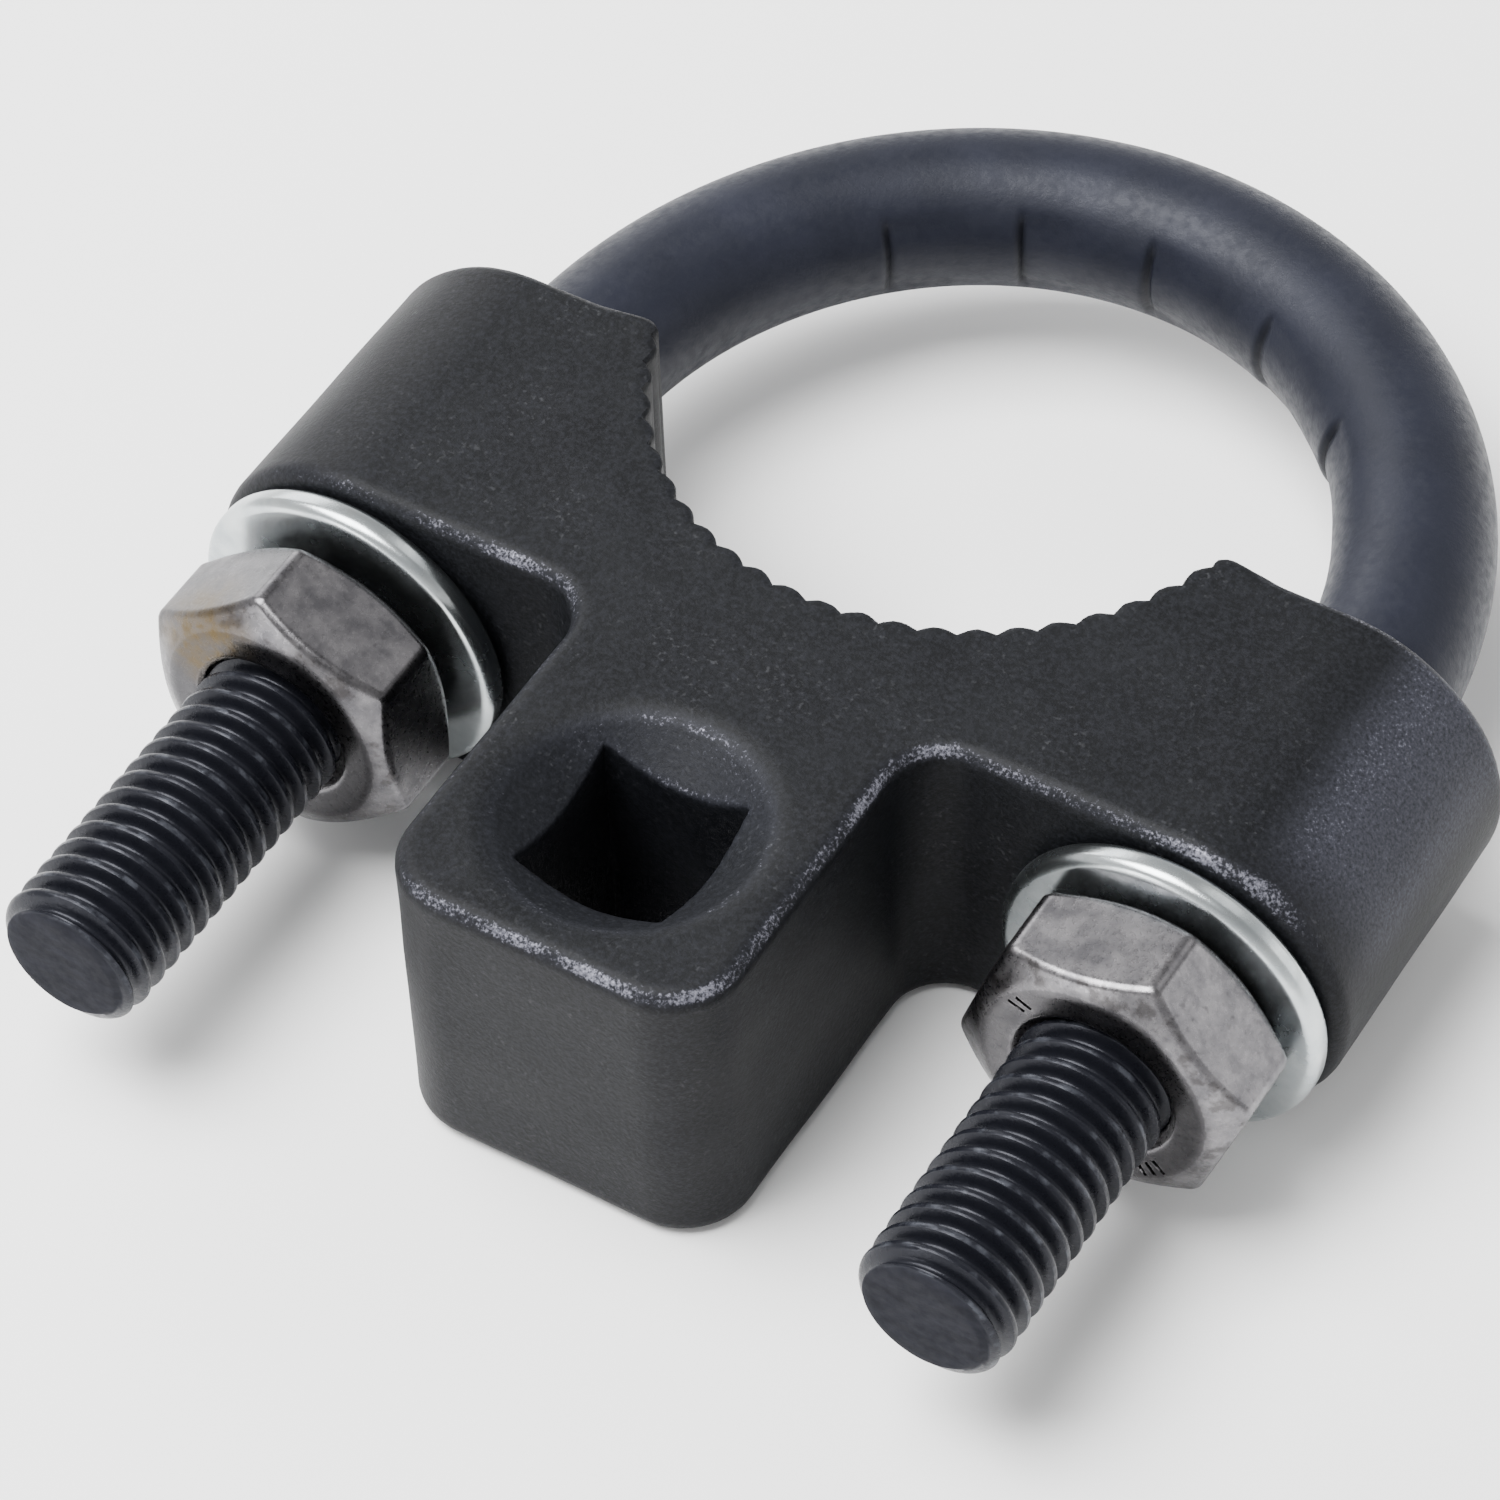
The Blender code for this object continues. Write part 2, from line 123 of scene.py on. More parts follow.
def make_piece(name, points, faces, sharp_degrees=40, **attributes):
    """A mesh object at the origin from points in millimetres and arrays of faces."""
    faces = [group for group in faces if len(group)]
    mesh = bpy.data.meshes.new(name)
    mesh.vertices.add(len(points))
    mesh.vertices.foreach_set("co", (points * MM).ravel())
    corners = np.concatenate([group.ravel() for group in faces])
    sizes = np.concatenate([np.full(len(group), group.shape[1]) for group in faces])
    mesh.loops.add(len(corners))
    mesh.loops.foreach_set("vertex_index", corners.astype(np.int32))
    mesh.polygons.add(len(sizes))
    starts = np.concatenate([[0], np.cumsum(sizes)[:-1]])
    mesh.polygons.foreach_set("loop_start", starts.astype(np.int32))
    mesh.update(calc_edges=True)
    mesh.validate()
    mesh.shade_smooth()
    mesh.set_sharp_from_angle(angle=math.radians(sharp_degrees))
    for label, values in attributes.items():
        layer = mesh.attributes.new(label, "FLOAT", "POINT")
        layer.data.foreach_set("value", np.asarray(values, dtype=np.float32))
    piece = bpy.data.objects.new(name, mesh)
    bpy.context.collection.objects.link(piece)
    print(f"{name}: {len(points)} points, {len(sizes)} faces")
    return piece


def stands_for(piece, node, material):
    """Give the piece its finish, and let it replace a node and ride on that node's body."""
    piece.data.materials.append(material)
    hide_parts(node)
    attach(piece, node)
    print(f"{piece.name} stands for {node} in {material.name}")


# %% [markdown]
# ## Shapes from distances
#
# A forging and a nut are solids cut with other solids, and their edges are rounded by
# the die, the chamfer or the oxide bath.  A Boolean and a bevel could make them, but
# bevels tear where many small edges meet, as they do along a scalloped jaw.  A distance
# function has no such trouble.  It says how far any point lies outside the solid, less
# than nothing inside, and two solids are cut with each other by taking the larger value.

# %% Rounded cuts and joins
def cut_round(a, b, radius):
    """Both solids at once, the larger of a and b, with its convex edges rounded.

    Near the edge, where both are within the radius of their surfaces, the distance is
    that from an arc: hypot(a + r, b + r) - r.
    """
    corner = np.hypot(np.maximum(a + radius, 0), np.maximum(b + radius, 0))
    return np.minimum(np.maximum(a, b), -radius) + corner


def join_round(a, b, radius):
    """Either solid, the smaller of a and b, with its concave edges filleted."""
    return -cut_round(-a, -b, radius)


def smooth_step(low, high, value):
    """0 below low, 1 above high, and 3t^2 - 2t^3 between them."""
    t = np.clip((value - low) / (high - low), 0, 1)
    return t * t * (3 - 2 * t)


def slow_waves(x, y, z, size, seed, count=7):
    """Hand-sized unevenness between about -1 and 1: sines in random directions."""
    random = np.random.default_rng(seed)
    total = np.zeros_like(x)
    for _ in range(count):
        direction = random.normal(size=3)
        direction *= 2 * math.pi / (size * np.linalg.norm(direction) * random.uniform(0.7, 1.4))
        total += np.sin(x * direction[0] + y * direction[1] + z * direction[2] + random.uniform(0, 6.28))
    return total / math.sqrt(count)


# %% [markdown]
# The surface is where the distance is nothing.  It is found by dual contouring: a box
# is divided into cells, each grid edge that the surface crosses gives a point and the
# direction of the surface there, and each cell that holds such points gets one corner of
# the mesh, at the place that fits all their planes best.  Sharp edges survive this, so a
# groove between two teeth stays a crease.

# %% Dual contouring
def slope(distance, points, step=0.01):
    """The unit outward direction at each point, from central differences."""
    shift = np.eye(3) * step
    parts = [distance(*(points + d).T) - distance(*(points - d).T) for d in shift]
    vectors = np.stack(parts, axis=1)
    return vectors / np.maximum(np.linalg.norm(vectors, axis=1, keepdims=True), 1e-12)


def crossings(distance, field, axes, axis):
    """Where grid edges along one axis meet the surface: start cell, point and inside-first."""
    lower = [slice(None)] * 3
    upper = [slice(None)] * 3
    lower[axis] = slice(None, -1)
    upper[axis] = slice(1, None)
    before, after = field[tuple(lower)], field[tuple(upper)]
    where = np.argwhere((before < 0) != (after < 0))
    start = np.stack([axes[i][where[:, i]] for i in range(3)], axis=1)
    cell = axes[0][1] - axes[0][0]
    near, far = np.zeros(len(where)), np.full(len(where), cell)
    near_inside = before[tuple(where.T)] < 0
    for _ in range(12):
        middle = (near + far) / 2
        points = start.copy()
        points[:, axis] += middle
        same = (distance(*points.T) < 0) == near_inside
        near, far = np.where(same, middle, near), np.where(same, far, middle)
    points = start.copy()
    points[:, axis] += (near + far) / 2
    return where, points, near_inside


# %% [markdown]
# Four cells meet at every grid edge, so each edge that the surface crosses gives one
# four-sided face.  A cell's corner is the point that lies nearest to all the planes of its
# crossings, which is a small linear system, and it is kept inside the cell.

# %% Faces from the crossings
def contour(distance, low, high, cell):
    """Points and four-sided faces of the surface distance = 0 inside a box."""
    axes = [np.arange(a - 1.5 * cell, b + 2.5 * cell, cell) for a, b in zip(low, high)]
    shape = np.array([len(a) for a in axes])
    field = distance(*np.meshgrid(*axes, indexing="ij"))
    place = np.array([shape[1] * shape[2], shape[2], 1])
    quads, points = [], []
    for axis in range(3):
        where, hits, near_inside = crossings(distance, field, axes, axis)
        b, c = place[(axis + 1) % 3], place[(axis + 2) % 3]
        home = where @ place
        around = np.stack([home, home - b, home - b - c, home - c], axis=1)
        around[~near_inside] = around[~near_inside][:, ::-1]
        quads.append(around)
        points.append(hits)
    quads, points = np.concatenate(quads), np.concatenate(points)
    normals = slope(distance, points)
    cells, owner = np.unique(quads, return_inverse=True)
    owner = owner.reshape(-1)

    def gather(values):
        return np.bincount(owner, weights=np.repeat(values, 4), minlength=len(cells))

    count = gather(np.ones(len(points)))
    middle = np.stack([gather(points[:, i]) for i in range(3)], axis=1) / count[:, None]
    reach = (normals * points).sum(axis=1)
    pairs = [(i, j) for i in range(3) for j in range(3)]
    matrix = np.stack([gather(normals[:, i] * normals[:, j]) for i, j in pairs], axis=1)
    matrix = matrix.reshape(-1, 3, 3)
    target = np.stack([gather(normals[:, i] * reach) for i in range(3)], axis=1)
    # a weak pull to the middle keeps the corners of nearly flat cells in place
    pull = 0.05
    target += pull * middle
    matrix += pull * np.eye(3)
    best = np.linalg.solve(matrix, target[:, :, None])[:, :, 0]
    index = np.stack(np.unravel_index(cells, shape), axis=1)
    corner = np.stack([axes[i][index[:, i]] for i in range(3)], axis=1)
    best = np.clip(best, corner, corner + cell)
    return best, owner.reshape(-1, 4)


# %% [markdown]
# ## The clamp block
#
# The block is drop forged and then machined: a drilled hole for each leg, a broached
# square for the drive, and a jaw cut with round ridges that bite on a round joint body.
# Seen from above it is a T.  Seen along the legs, each arm ends in a full half round,
# which comes from the distance to a flat bar with round sides.

# %% The block as a distance function
ARM_LENGTH = 27.6
ARM_FRONT = ARM_BACK - ARM_LENGTH
TONGUE_HALF = 14.6
TONGUE_CORNER = 6.0
TONGUE_OVERLAP = 12.0
ARM_FILLET = 4.5
SOCKET_Y = ARM_FRONT - 17.8
SOCKET_HALF = 6.45
SOCKET_CORNER = 0.3
COUNTERSINK = 11.1
COUNTERSINK_SLOPE = 1.35
JAW_Y = ARM_BACK + 6.7
JAW_RADIUS = 26.6
TOOTH_ANGLE = math.radians(6.57)
TOOTH_HEIGHT = 0.62
MOUTH_RADIUS = 1.4
BORE_RADIUS = 7.15
# edges are crisp beside the jaw and soft from the second of these distances on
EDGE_CRISP = 0.55
EDGE_SOFT = 1.5
EDGE_BLEND = (1.5, 6)
SQUARE_EDGE = 0.25
COUNTERSINK_EDGE = 0.7
BORE_EDGE = 0.5
WAVE_HEIGHT = 0.035
WAVE_SIZE = 11
BLOCK_CELL = 0.5


def rounded_box(u, v, half_u, half_v, corner):
    """Distance to a flat rectangle with rounded corners."""
    a, b = np.abs(u) - half_u + corner, np.abs(v) - half_v + corner
    outside = np.hypot(np.maximum(a, 0), np.maximum(b, 0))
    return outside + np.minimum(np.maximum(a, b), 0) - corner


def jaw_distance(x, y):
    """Distance into the jaw's free space, less than nothing inside it.

    The wall lies at radius R - h |sin(pi k)|, where k counts teeth from the jaw's bottom.
    """
    away = np.hypot(x, y - JAW_Y)
    count = np.arctan2(x, JAW_Y - y) / TOOTH_ANGLE
    return away - JAW_RADIUS + TOOTH_HEIGHT * np.abs(np.sin(math.pi * count))


def block_distance(x, y, z):
    """The forged T, its jaw, drive socket and leg bores."""
    side, height = np.abs(x), z - LEG_Z
    tongue_back = ARM_FRONT + TONGUE_OVERLAP
    tongue_middle = (TONGUE_FRONT + tongue_back) / 2
    tongue_reach = (tongue_back - TONGUE_FRONT) / 2
    tongue = rounded_box(x, y - tongue_middle, TONGUE_HALF, tongue_reach, TONGUE_CORNER)
    arms = np.abs(y - (ARM_FRONT + ARM_BACK) / 2) - ARM_LENGTH / 2
    jaw = jaw_distance(x, y)
    plan = cut_round(join_round(tongue, arms, ARM_FILLET), -jaw, MOUTH_RADIUS)
    bar = np.hypot(np.maximum(side - LEG_X, 0), height) - ARM_RADIUS
    edge = EDGE_CRISP + (EDGE_SOFT - EDGE_CRISP) * smooth_step(*EDGE_BLEND, jaw)
    solid = cut_round(plan, bar, edge)

    away = np.hypot(x, y - SOCKET_Y)
    square = rounded_box(x, y - SOCKET_Y, SOCKET_HALF, SOCKET_HALF, SOCKET_CORNER)
    depth = ARM_RADIUS - np.abs(height)
    cone = (away - COUNTERSINK + COUNTERSINK_SLOPE * depth) / math.hypot(1, COUNTERSINK_SLOPE)
    solid = cut_round(solid, cut_round(-square, -cone, SQUARE_EDGE), COUNTERSINK_EDGE)

    bore = np.hypot(side - LEG_X, height) - BORE_RADIUS
    solid = cut_round(solid, -bore, BORE_EDGE)
    return solid + WAVE_HEIGHT * slow_waves(x, y, z, WAVE_SIZE, seed=4)


points, faces = contour(block_distance, block_low, block_high, BLOCK_CELL)
print("block corners:", len(points), "faces:", len(faces))

# %% [markdown]
# Oxide rubs off where the metal stands proud, so each corner of the mesh also keeps how
# sharply the surface turns there.  The distance function tells this too: on a rounded
# edge the mean of its neighbours' distances is larger than its own.  Handling is uneven,
# so a short list says which edges have met a bench or a spanner, and how hard.

# %% Where the block is rubbed, and where highlight is painted on it
def proudness(distance, points, reach):
    """Mean curvature felt over a reach: the neighbours' mean distance times 6 / reach^2."""
    shift = np.eye(3) * reach
    around = sum(distance(*(points + d).T) + distance(*(points - d).T) for d in shift)
    return (around - 6 * distance(*points.T)) / reach ** 2


# x, y, reach and amount of each rubbed spot along the upper edges
RUBS = (
    (-8, -48.9, 4, 0.65), (-2, -48.9, 5, 0.75), (6, -48.9, 5, 0.85), (13, -46.5, 4, 0.8),
    (14.6, -39, 6, 0.5), (14.6, -31, 6, 0.5), (14.6, -24, 5, 0.7), (16.5, -18, 4, 0.7),
    (23, -16.9, 6, 0.5), (31, -16.9, 6, 0.4), (38, -16.9, 5, 0.85), (43, -16, 4, 0.6),
    (-17, -17.5, 3, 0.45), (-22, -16.9, 4, 0.75), (-28, -16.9, 5, 0.45), (-38, -16.9, 6, 0.3),
    (-14.6, -40, 6, 0.25), (-14.6, -25, 5, 0.3), (38, 10.7, 9, 0.45), (-30, 10.7, 7, 0.2),
)
RIM_RUB = (0, SOCKET_Y + 11, 7, 0.62)

normals = slope(block_distance, points)
edge = smooth_step(0.25, 0.5, proudness(block_distance, points, 0.7))
leaning = smooth_step(0.30, 0.55, normals[:, 2]) * (1 - smooth_step(0.86, 0.98, normals[:, 2]))
handled = np.full(len(points), 0.12)
for x, y, reach, amount in RUBS + (RIM_RUB,):
    away = np.hypot(points[:, 0] - x, points[:, 1] - y)
    handled = np.maximum(handled, amount * np.exp(-((away / reach) ** 2)))
handled[points[:, 2] < LEG_Z] *= 0.4
# painted highlight: a band along the right arm's round side, picked by which way the surface faces, is
# lightened in the colour; a little of it also goes into the bright wear flecks
shoulder = smooth_step(0.25, 0.6, normals[:, 0]) * smooth_step(0.05, 0.35, normals[:, 2])
shoulder *= (points[:, 0] > LEG_X) * smooth_step(-17, -8, points[:, 1])
turning = smooth_step(0.12, 0.35, normals[:, 0]) * (1 - smooth_step(0.50, 0.85, normals[:, 0]))
rubbed = np.maximum(edge * leaning * handled, (0.06 + 0.22 * turning) * shoulder)
socket_away = np.hypot(points[:, 0], points[:, 1] - SOCKET_Y)
machined = (socket_away < COUNTERSINK + 0.2) * (1 - smooth_step(0.9, 0.98, np.abs(normals[:, 2])))
# painted reflection: the countersink's far wall is lightened in the colour; near its rim it also gets real
# wear flecks
far_wall = machined * smooth_step(2, 7, points[:, 1] - SOCKET_Y) * (normals[:, 2] > 0.3)
near_rim = smooth_step(-3.5, -0.8, points[:, 2] - LEG_Z - ARM_RADIUS)
rubbed = np.maximum(rubbed, 0.15 * far_wall * near_rim)
# this mask lightens the colour: real sheen of rubbed edges, painted highlight on the right arm's round side
# and painted reflection on the countersink's far wall
wear_sheen_and_painted_highlight = np.clip(0.55 * edge * leaning * handled + 0.9 * shoulder + 0.15 * far_wall, 0, 1)
marks = {"wear": rubbed, "wear_sheen_and_painted_highlight": wear_sheen_and_painted_highlight, "machined": machined}
block = make_piece("clamp_block_skin", points, [faces], sharp_degrees=48, **marks)

# %% [markdown]
# ## The U-bolt
#
# A U-bolt is one bar, threaded at both ends and then bent.  The bar is a circle carried
# along a path.  A thread is a helix, so on the legs the rows of the grid climb with it:
# row k at angle a lies at s = s_k + pitch * a / 2 pi, and after a full turn each row
# meets the one a pitch further on.  Crests and grooves then follow the rows and stay clean.

# %% Thread and leg
COLUMNS = 80
ROWS_PER_PITCH = 12
TIP_FLAT = 5.4
TIP_ROUND = 0.5


def soft_min(a, b, width):
    """The smaller of a and b, with the corner between them rounded over a width."""
    return np.minimum(a, b) - np.maximum(width - np.abs(a - b), 0) ** 2 / (4 * width)


def thread_height(phase):
    """1 on a crest, 0 in a groove: a smooth step between them, as rolling dies leave it."""
    from_crest = np.abs(2 * (phase - np.round(phase)))
    return 1 - smooth_step(0.16, 0.86, from_crest)


def leg_profile(s, phase, length):
    """Radius of a leg and distance along it, for each distance s from the tip.

    Below s = 0 the profile runs across the cut end, from the axis out to its rim.  The
    end is flat, and its rim is rounded, as a tumbled bar's is.
    """
    groove = THREAD_DEPTH * (1 - thread_height(phase)) * (1 - smooth_step(length - 4, length - 1.5, s))
    swell = (ROD_RADIUS - THREAD_RADIUS) * smooth_step(length - 1.2, length - 0.3, s)
    radius = THREAD_RADIUS + swell - groove
    end = TIP_FLAT + s
    rim = np.maximum(np.where(s < 2.5, soft_min(radius, end, 0.9), radius), 0)
    along = -soft_min(-s, 0 * s, 2 * TIP_ROUND)
    return np.where(end <= 0, 0, rim), np.clip(along, 0, length)


def leg_grid(side):
    """Points and faces of one threaded leg, closed at its tip."""
    length = THREAD_END - TIP_Y[side]
    start = -TIP_FLAT - PITCH - 0.05
    rows = int(math.ceil((length + PITCH - start) / PITCH * ROWS_PER_PITCH)) + 2
    turn = np.arange(COLUMNS) / COLUMNS
    s = start + PITCH * (np.arange(rows)[:, None] / ROWS_PER_PITCH + turn[None, :])
    phase = s / PITCH - turn[None, :]
    s = np.clip(s, -TIP_FLAT, length)
    radius, along = leg_profile(s, phase, length)
    angle = 2 * math.pi * turn[None, :]
    grid = np.stack(
        [side * LEG_X + radius * np.sin(angle), TIP_Y[side] + along, LEG_Z + radius * np.cos(angle)],
        axis=-1,
    )
    index = np.arange(rows * COLUMNS).reshape(rows, COLUMNS)
    body = np.stack([index[:-1, :-1], index[:-1, 1:], index[1:, 1:], index[1:, :-1]], axis=-1)
    n = ROWS_PER_PITCH
    seam = np.stack([index[: -n - 1, -1], index[n:-1, 0], index[n + 1 :, 0], index[1:-n, -1]], axis=-1)
    faces = np.concatenate([body.reshape(-1, 4), seam])
    marks = {
        "thread": np.where(s < length - 3, 1.0, 0.0) * (s >= 0),
        "crest": thread_height(phase) * (s > 0),
        "cut": (s <= 0.05) * 1.0,
        "recess_darkening": np.zeros_like(s),
    }
    return grid.reshape(-1, 3), faces, {k: v.ravel() for k, v in marks.items()}


# %% [markdown]
# The plain bar runs up from the left leg, round half an ellipse, and down to the right
# leg.  Bending pins press flats into its inner side and leave a crease between one flat and
# the next.  The radius there falls slowly over each flat and steps back at the crease,
# inside a window in angle that faces the inside of the bend.

# %% The bend
ROW_STEP = 0.3
# where each crease lies, in degrees of the ellipse from the right leg, and its depth
CREASES = ((132.0, 0.42), (111.5, 0.42), (90.5, 0.42), (67.0, 0.32), (44.0, 0.34))
FLAT_LENGTH = 9.0
CREASE_WIDTH = 0.32
STRAIGHT_ROWS = 23


def bend_path():
    """Centreline points, unit tangents and the ellipse angle at each, from left to right."""
    steps = int(math.pi * (LEG_X + BEND_HEIGHT) / 2 / ROW_STEP)
    angle = np.linspace(math.pi, 0, steps + 1)
    bend = np.stack([LEG_X * np.cos(angle), BEND_Y + BEND_HEIGHT * np.sin(angle)], axis=1)
    tangent = np.stack([LEG_X * np.sin(angle), -BEND_HEIGHT * np.cos(angle)], axis=1)
    tangent /= np.linalg.norm(tangent, axis=1, keepdims=True)
    straight = np.linspace(THREAD_END, BEND_Y, STRAIGHT_ROWS + 1)[:-1]
    up = np.stack([np.full(STRAIGHT_ROWS, -LEG_X), straight], axis=1)
    down = np.stack([np.full(STRAIGHT_ROWS, LEG_X), straight[::-1]], axis=1)
    path = np.concatenate([up, bend, down])
    rising = np.tile([[0.0, 1.0]], (STRAIGHT_ROWS, 1))
    along = np.concatenate([rising, tangent, -rising])
    angle = np.concatenate([np.full(STRAIGHT_ROWS, math.pi), angle, np.zeros(STRAIGHT_ROWS)])
    return path, along, angle


# %% [markdown]
# Every point of the path carries a ring of the same columns as the legs.  The creases are
# only pressed into the inner side, and a thin dark line of painted shade is laid along each.

# %% Bar and creases
def bend_grid():
    """Points and faces of the plain bar: path point + radius (inward sin a + up cos a)."""
    path, along, ellipse_angle = bend_path()
    inward = np.stack([along[:, 1], -along[:, 0]], axis=1)
    turn = 2 * math.pi * np.arange(COLUMNS) / COLUMNS
    radius = np.full((len(path), COLUMNS), ROD_RADIUS)
    recess_darkening = np.zeros_like(radius)
    window = smooth_step(0.72, 0.9, np.sin(turn))[None, :]
    arm = math.hypot(LEG_X, BEND_HEIGHT) / math.sqrt(2) - ROD_RADIUS
    for degrees, height in CREASES:
        away = (ellipse_angle - math.radians(degrees)) * arm
        flat = smooth_step(-FLAT_LENGTH, -0.4, away) * (1 - smooth_step(-0.35, 0.25, away))
        crease = np.exp(-(((away + 0.05) / CREASE_WIDTH) ** 2))
        radius -= (height * flat + 0.9 * height * crease)[:, None] * window
        # painted shade: a thin dark line along each crease, kept as a mark for the colour
        recess_darkening = np.maximum(recess_darkening, crease[:, None] * window)
    flat = path[:, None, :] + inward[:, None, :] * (radius * np.sin(turn))[:, :, None]
    grid = np.concatenate([flat, (LEG_Z + radius * np.cos(turn))[:, :, None]], axis=2)
    index = np.arange(len(path) * COLUMNS).reshape(-1, COLUMNS)
    right = np.roll(index, -1, axis=1)
    faces = np.stack([index[:-1], right[:-1], right[1:], index[1:]], axis=-1).reshape(-1, 4)
    clean = np.zeros_like(recess_darkening)
    marks = {"thread": clean, "crest": clean, "cut": clean, "recess_darkening": recess_darkening}
    return grid.reshape(-1, 3), faces, {k: v.ravel() for k, v in marks.items()}


# %% [markdown]
# The two legs and the bar meet in rows of points that coincide.  Welding them gives one
# closed skin, as the real bar is one piece.

# %% One skin for the U-bolt
parts = [leg_grid(-1), leg_grid(1), bend_grid()]
offset, all_points, all_faces = 0, [], []
for part_points, part_faces, _ in parts:
    all_points.append(part_points)
    all_faces.append(part_faces + offset)
    offset += len(part_points)
points, faces, kept = weld(np.concatenate(all_points), np.concatenate(all_faces))
marks = {key: np.concatenate([part[2][key] for part in parts])[kept] for key in parts[0][2]}
u_bolt = make_piece("u_bolt_skin", points, faces, sharp_degrees=42, **marks)

# %% [markdown]
# ## Washers
#
# A flat washer is stamped, so its outer edge is rolled over a little.  Its section is a
# small rectangle with round corners, walked round once and then turned about the leg.

# %% Turned rings
def turned(profile, centre, columns):
    """Points and faces of a closed profile of (radius, y) turned about a leg's axis."""
    turn = 2 * math.pi * np.arange(columns) / columns
    radius, y = profile[:, 0][:, None], profile[:, 1][:, None]
    across = centre[0] + radius * np.sin(turn)
    along = np.repeat(centre[1] + y, columns, axis=1)
    grid = np.stack([across, along, centre[2] + radius * np.cos(turn)], axis=-1)
    index = np.arange(len(profile) * columns).reshape(-1, columns)
    right, up = np.roll(index, -1, axis=1), np.roll(index, -1, axis=0)
    faces = np.stack([index, right, np.roll(right, -1, axis=0), up], axis=-1).reshape(-1, 4)
    return grid.reshape(-1, 3), faces


def rounded_section(inner, outer, thick, inner_corner, outer_corner, steps=8):
    """A rectangle in (radius, y), its corners replaced by arcs, walked from the bore outwards."""
    quarter = np.radians(np.linspace(0, 90, steps + 1))
    corners = (
        (inner + inner_corner, inner_corner, inner_corner, 180),
        (outer - outer_corner, outer_corner, outer_corner, 270),
        (outer - outer_corner, thick - outer_corner, outer_corner, 0),
        (inner + inner_corner, thick - inner_corner, inner_corner, 90),
    )
    arcs = []
    for r, y, size, start in corners:
        a = quarter + math.radians(start)
        arcs.append(np.stack([r + size * np.cos(a), y + size * np.sin(a)], axis=1))
    return np.concatenate(arcs)


WASHER_RADIUS = (washer_high[0] - washer_low[0]) / 2
WASHER_THICK = washer_high[1] - washer_low[1]
WASHER_BORE = 6.75
BORE_CORNER = 0.25
RIM_CORNER = 0.95
WASHER_COLUMNS = 144
washers = {}
for side, word in ((-1, "left"), (1, "right")):
    section = rounded_section(WASHER_BORE, WASHER_RADIUS, WASHER_THICK, BORE_CORNER, RIM_CORNER)
    low = node_box("washer_" + word)[0]
    points, faces = turned(section, (side * LEG_X, low[1], LEG_Z), WASHER_COLUMNS)
    washers[side] = make_piece("washer_%s_skin" % word, points, [faces], sharp_degrees=60)

# %% [markdown]
# ## Nuts
#
# A hex nut is a six-sided bar cut with a cone on each face, and the curved edge between
# a flat and a cone is where light catches.  The distance way gives that edge for free,
# and the thread and the countersink come in the same breath.

# %% Nuts as distance functions
NUT_HALF_FLATS = 11.0
NUT_HEIGHT = 9.6
NUT_FACE_RADIUS = 9.6
CORNER_TURN = {-1: math.radians(95.0), 1: math.radians(130.8)}
NUT_CLEARANCE = 0.25
NUT_MOUTH_RADIUS = 7.0
CORNER_ROUND = 0.6
CONE_ROUND = 0.45
FACE_ROUND = 0.35
MOUTH_ROUND = 0.15
# a thread's flanks lean, so a radial gap counts for less when it is a distance
THREAD_LEAN = 0.75
NUT_CELL = 0.2
STROKE_HALF_WIDTH = 0.17
STROKE_HALF_LENGTH = 0.75
STROKE_DEPTH = 0.28
# short strokes pressed in the right nut's front face, a plain stand-in for grade marks:
# angle round the nut, radius and how far each stroke leans
STROKES = ((133.5, 8.5, 20), (139.5, 8.5, 20), (301, 8.6, 0), (307, 8.6, 0), (313, 8.6, 0))


def nut_distance(side):
    """Distance function of the nut on one leg."""

    def distance(x, y, z):
        u, v, depth = x - side * LEG_X, z - LEG_Z, y - NUT_FRONT[side]
        solid = np.full_like(u, -50.0)
        for k in range(3):
            a = CORNER_TURN[side] + math.radians(30 + 60 * k)
            flat = np.abs(u * math.cos(a) + v * math.sin(a)) - NUT_HALF_FLATS
            solid = cut_round(solid, flat, CORNER_ROUND)
        away = np.hypot(u, v)
        middle = np.abs(depth - NUT_HEIGHT / 2) - NUT_HEIGHT / 2
        cone = (away - NUT_FACE_RADIUS) * 0.5 + middle * math.cos(math.radians(30))
        solid = cut_round(cut_round(solid, cone, CONE_ROUND), middle, FACE_ROUND)
        phase = (y - TIP_Y[side]) / PITCH - np.arctan2(u, v) / (2 * math.pi)
        thread = THREAD_RADIUS - THREAD_DEPTH * (1 - thread_height(phase)) + NUT_CLEARANCE
        solid = np.maximum(solid, THREAD_LEAN * (thread - away))
        mouth = (NUT_MOUTH_RADIUS + middle - away) * math.sqrt(0.5)
        solid = cut_round(solid, mouth, MOUTH_ROUND)
        for degrees, radius, lean in STROKES if side > 0 else ():
            a, b = math.radians(degrees), math.radians(degrees + lean)
            du, dv = u - radius * math.cos(a), v - radius * math.sin(a)
            across = np.abs(-du * math.sin(b) + dv * math.cos(b)) - STROKE_HALF_WIDTH
            length = np.abs(du * math.cos(b) + dv * math.sin(b)) - STROKE_HALF_LENGTH
            stroke = np.maximum(np.maximum(across, length), depth - STROKE_DEPTH)
            solid = np.maximum(solid, -stroke)
        return solid

    return distance
